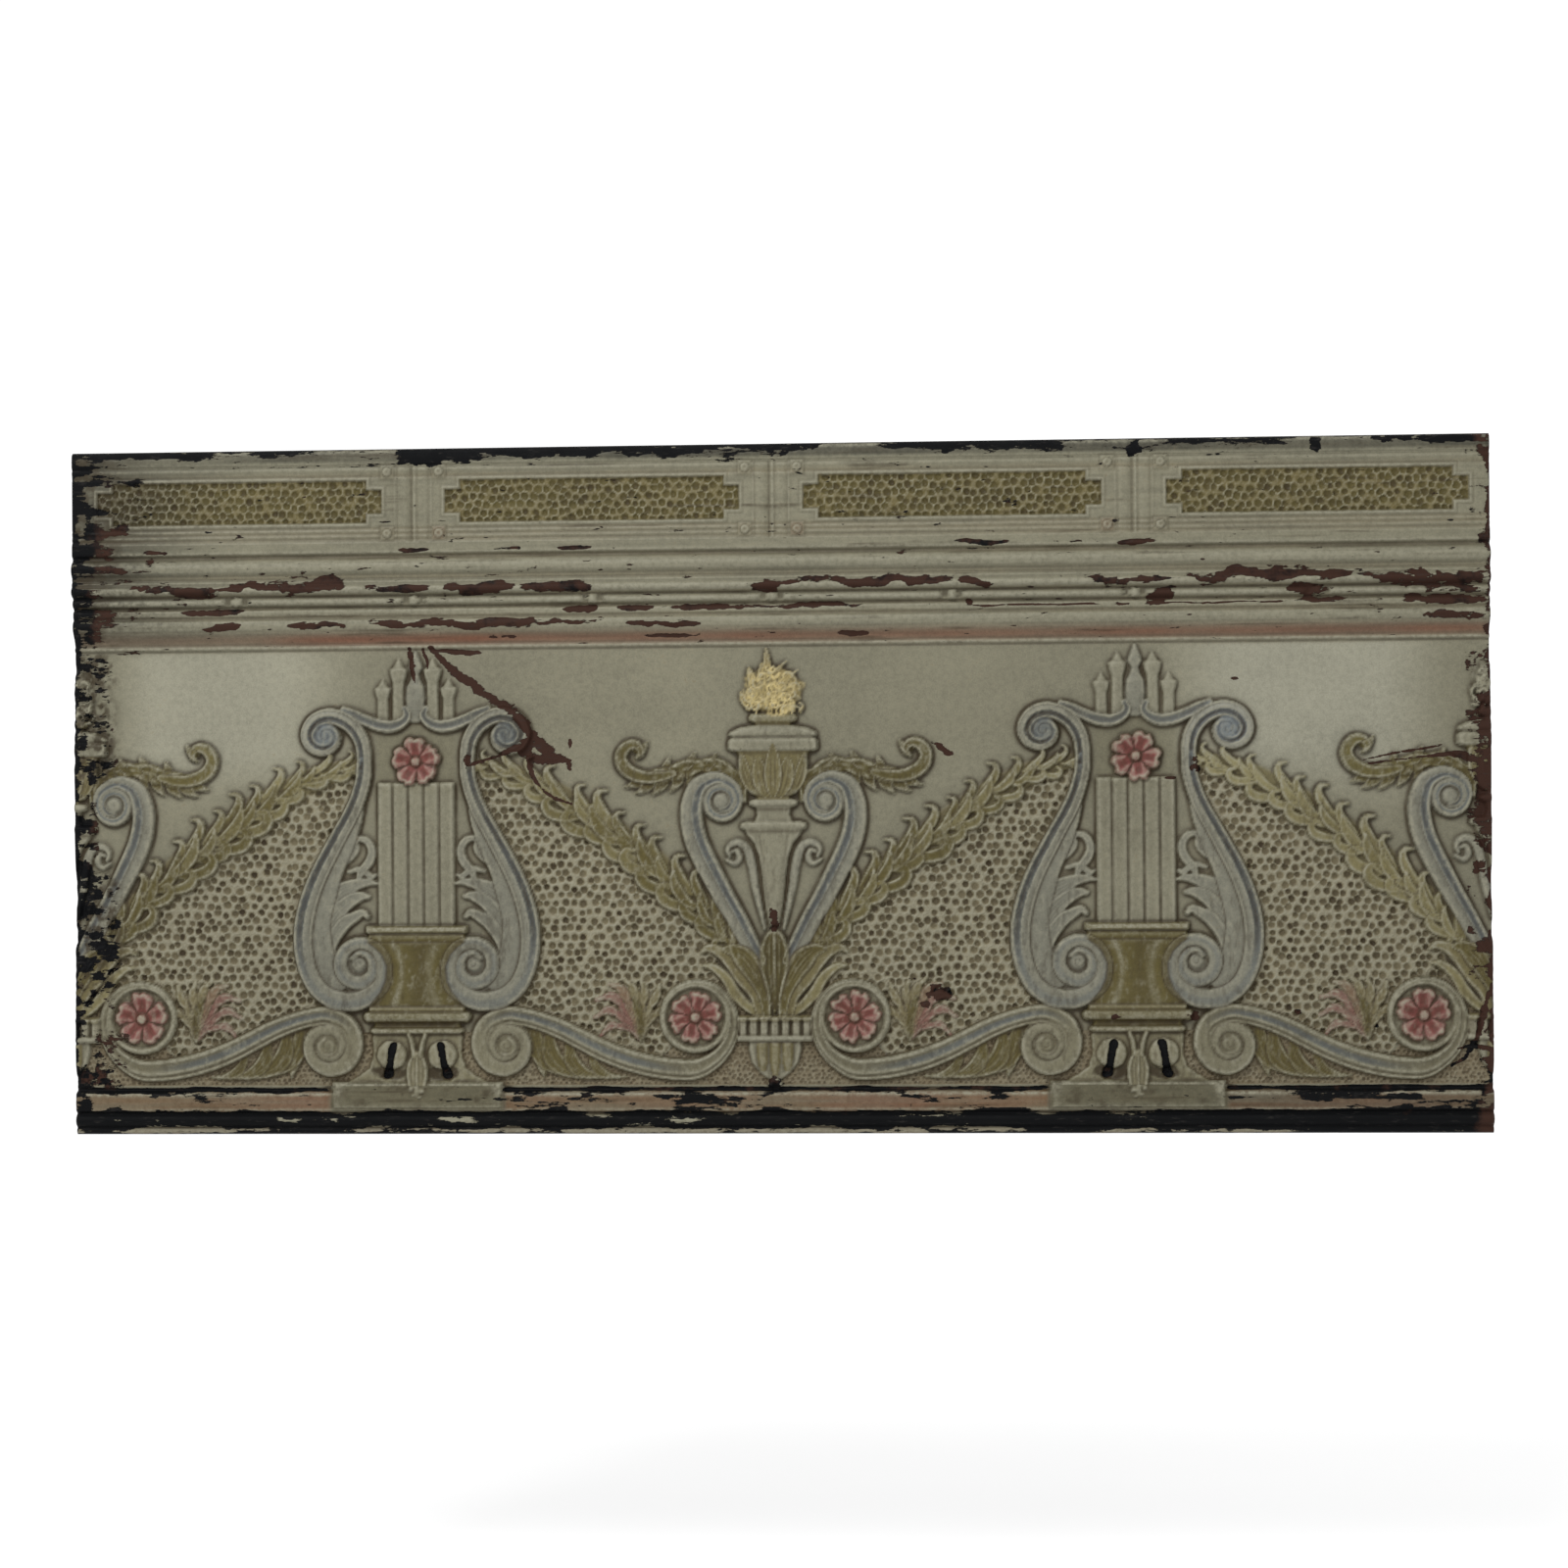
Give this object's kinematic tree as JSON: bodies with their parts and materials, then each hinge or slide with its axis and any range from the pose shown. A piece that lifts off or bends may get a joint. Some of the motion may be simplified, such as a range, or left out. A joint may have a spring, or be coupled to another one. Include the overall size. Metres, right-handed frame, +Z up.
{
  "type": "frieze panel",
  "caption": "Long pressed steel frieze panel with a moulded cornice over lyres, torches, garlands and scrolls in low relief, edges folded back.",
  "frame": {"origin": "back of the top hem, in the middle of the panel's length", "axes": "+X along the panel, +Z up the wall, the ornament faces -Y and the wall is on the +Y side"},
  "size_m": [1.192, 0.027, 0.58],
  "materials": {
    "painted_steel": "old sage and cream oil paint with brown glaze in the hollows, blue, olive and pink ornament, chipped to dark steel"
  },
  "bodies": {
    "root": {"pressed_panel": "painted_steel"}
  },
  "joints": []
}
